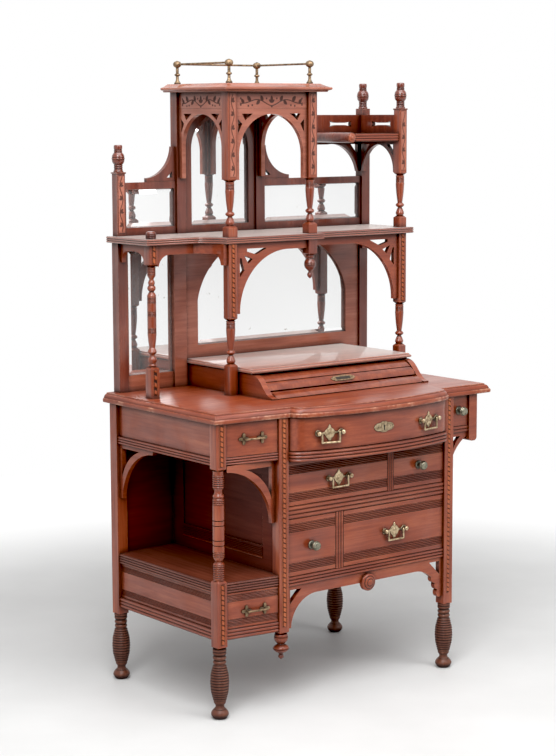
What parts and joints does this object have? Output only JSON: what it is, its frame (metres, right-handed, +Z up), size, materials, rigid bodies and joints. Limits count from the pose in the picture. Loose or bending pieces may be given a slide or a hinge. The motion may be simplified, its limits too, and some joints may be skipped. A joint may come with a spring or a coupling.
{
  "type": "bonheur du jour",
  "caption": "Carved lady's writing desk with a bow-fronted bank of drawers, an open side bay, a stationery box and a mirrored upper stage with a columned canopy and corner shelf.",
  "frame": {"origin": "on the floor under the middle of the desk top's width and depth", "axes": "+X to the right of a person who faces the desk, +Y to the back, +Z up"},
  "size_m": [0.8984, 0.5696, 1.605],
  "materials": {
    "mahogany": "reddish mahogany, French polished, worn pale on the edges",
    "secondary_wood": "plain unpolished drawer wood",
    "aged_brass": "dull aged brass",
    "mirror_glass": "silvered plate, bevelled"
  },
  "bodies": {
    "carcass": {"apron_rosette": "mahogany", "bay_apron": "mahogany", "box_case": "mahogany", "brass_gallery": "aged_brass", "canopy_arches": "mahogany", "canopy_cornice": "mahogany", "cantilever_case": "mahogany", "carcass_panels": "mahogany", "corner_shelf": "mahogany", "curved_brackets": "mahogany", "desk_top": "mahogany", "dust_boards": "secondary_wood", "finials": "mahogany", "front_left_post": "mahogany", "left_bay_shelf": "mahogany", "left_side_panels": "mahogany", "lower_mirror_frame": "mahogany", "mid_shelf": "mahogany", "mirror_plates": "mirror_glass", "moulded_rails": "mahogany", "pendant_post": "mahogany", "pierced_brackets": "mahogany", "shelf_aprons": "mahogany", "square_posts": "mahogany", "tier_posts": "mahogany", "turned_columns": "mahogany", "turned_feet": "mahogany", "upper_mirror_frames": "mahogany"},
    "bow_drawer": {"bow_drawer_front": "mahogany", "bow_drawer_box": "secondary_wood", "bow_drawer_fittings": "aged_brass"},
    "bow_left_handle": {"bow_left_bail": "aged_brass"},
    "bow_right_handle": {"bow_right_bail": "aged_brass"},
    "second_wide_drawer": {"second_wide_drawer_front": "mahogany", "second_wide_drawer_box": "secondary_wood", "second_wide_pull": "aged_brass"},
    "second_wide_handle": {"second_wide_bail": "aged_brass"},
    "second_small_drawer": {"second_small_drawer_front": "mahogany", "second_small_drawer_box": "secondary_wood", "second_small_knob": "aged_brass"},
    "third_small_drawer": {"third_small_drawer_front": "mahogany", "third_small_drawer_box": "secondary_wood", "third_small_knob": "aged_brass"},
    "third_wide_drawer": {"third_wide_drawer_front": "mahogany", "third_wide_drawer_box": "secondary_wood", "third_wide_pull": "aged_brass"},
    "third_wide_handle": {"third_wide_bail": "aged_brass"},
    "upper_left_drawer": {"upper_left_drawer_front": "mahogany", "upper_left_drawer_box": "secondary_wood", "upper_left_pull": "aged_brass"},
    "lower_left_drawer": {"lower_left_drawer_front": "mahogany", "lower_left_drawer_box": "secondary_wood", "lower_left_pull": "aged_brass"},
    "cantilever_drawer": {"cantilever_drawer_front": "mahogany", "cantilever_drawer_box": "secondary_wood", "cantilever_knob": "aged_brass"},
    "stationery_drawer": {"stationery_front": "mahogany", "stationery_box": "secondary_wood", "stationery_pull": "aged_brass"}
  },
  "joints": [
    {"name": "bow_drawer_slide", "type": "slide", "parent": "carcass", "child": "bow_drawer", "axis": [0, -1, 0], "range_m": [0, 0.3]},
    {"name": "second_wide_slide", "type": "slide", "parent": "carcass", "child": "second_wide_drawer", "axis": [0, -1, 0], "range_m": [0, 0.3]},
    {"name": "second_small_slide", "type": "slide", "parent": "carcass", "child": "second_small_drawer", "axis": [0, -1, 0], "range_m": [0, 0.3]},
    {"name": "third_small_slide", "type": "slide", "parent": "carcass", "child": "third_small_drawer", "axis": [0, -1, 0], "range_m": [0, 0.3]},
    {"name": "third_wide_slide", "type": "slide", "parent": "carcass", "child": "third_wide_drawer", "axis": [0, -1, 0], "range_m": [0, 0.3]},
    {"name": "upper_left_slide", "type": "slide", "parent": "carcass", "child": "upper_left_drawer", "axis": [0, -1, 0], "range_m": [0, 0.28]},
    {"name": "lower_left_slide", "type": "slide", "parent": "carcass", "child": "lower_left_drawer", "axis": [0, -1, 0], "range_m": [0, 0.28]},
    {"name": "cantilever_slide", "type": "slide", "parent": "carcass", "child": "cantilever_drawer", "axis": [0, -1, 0], "range_m": [0, 0.28]},
    {"name": "stationery_slide", "type": "slide", "parent": "carcass", "child": "stationery_drawer", "axis": [0, -1, 0], "range_m": [0, 0.17]},
    {"name": "bow_left_bail_swing", "type": "hinge", "parent": "bow_drawer", "child": "bow_left_handle", "pos_m": [-0.13809, -0.26507, 0.6895], "axis": [-0.9828, 0.1848, 0], "range_deg": [0, 85]},
    {"name": "bow_right_bail_swing", "type": "hinge", "parent": "bow_drawer", "child": "bow_right_handle", "pos_m": [0.19509, -0.26507, 0.6895], "axis": [-0.9828, -0.1848, 0], "range_deg": [0, 85]},
    {"name": "second_wide_bail_swing", "type": "hinge", "parent": "second_wide_drawer", "child": "second_wide_handle", "pos_m": [-0.069, -0.2196, 0.564], "axis": [-1, 0, 0], "range_deg": [0, 85]},
    {"name": "third_wide_bail_swing", "type": "hinge", "parent": "third_wide_drawer", "child": "third_wide_handle", "pos_m": [0.1185, -0.2196, 0.402], "axis": [-1, 0, 0], "range_deg": [0, 85]}
  ]
}
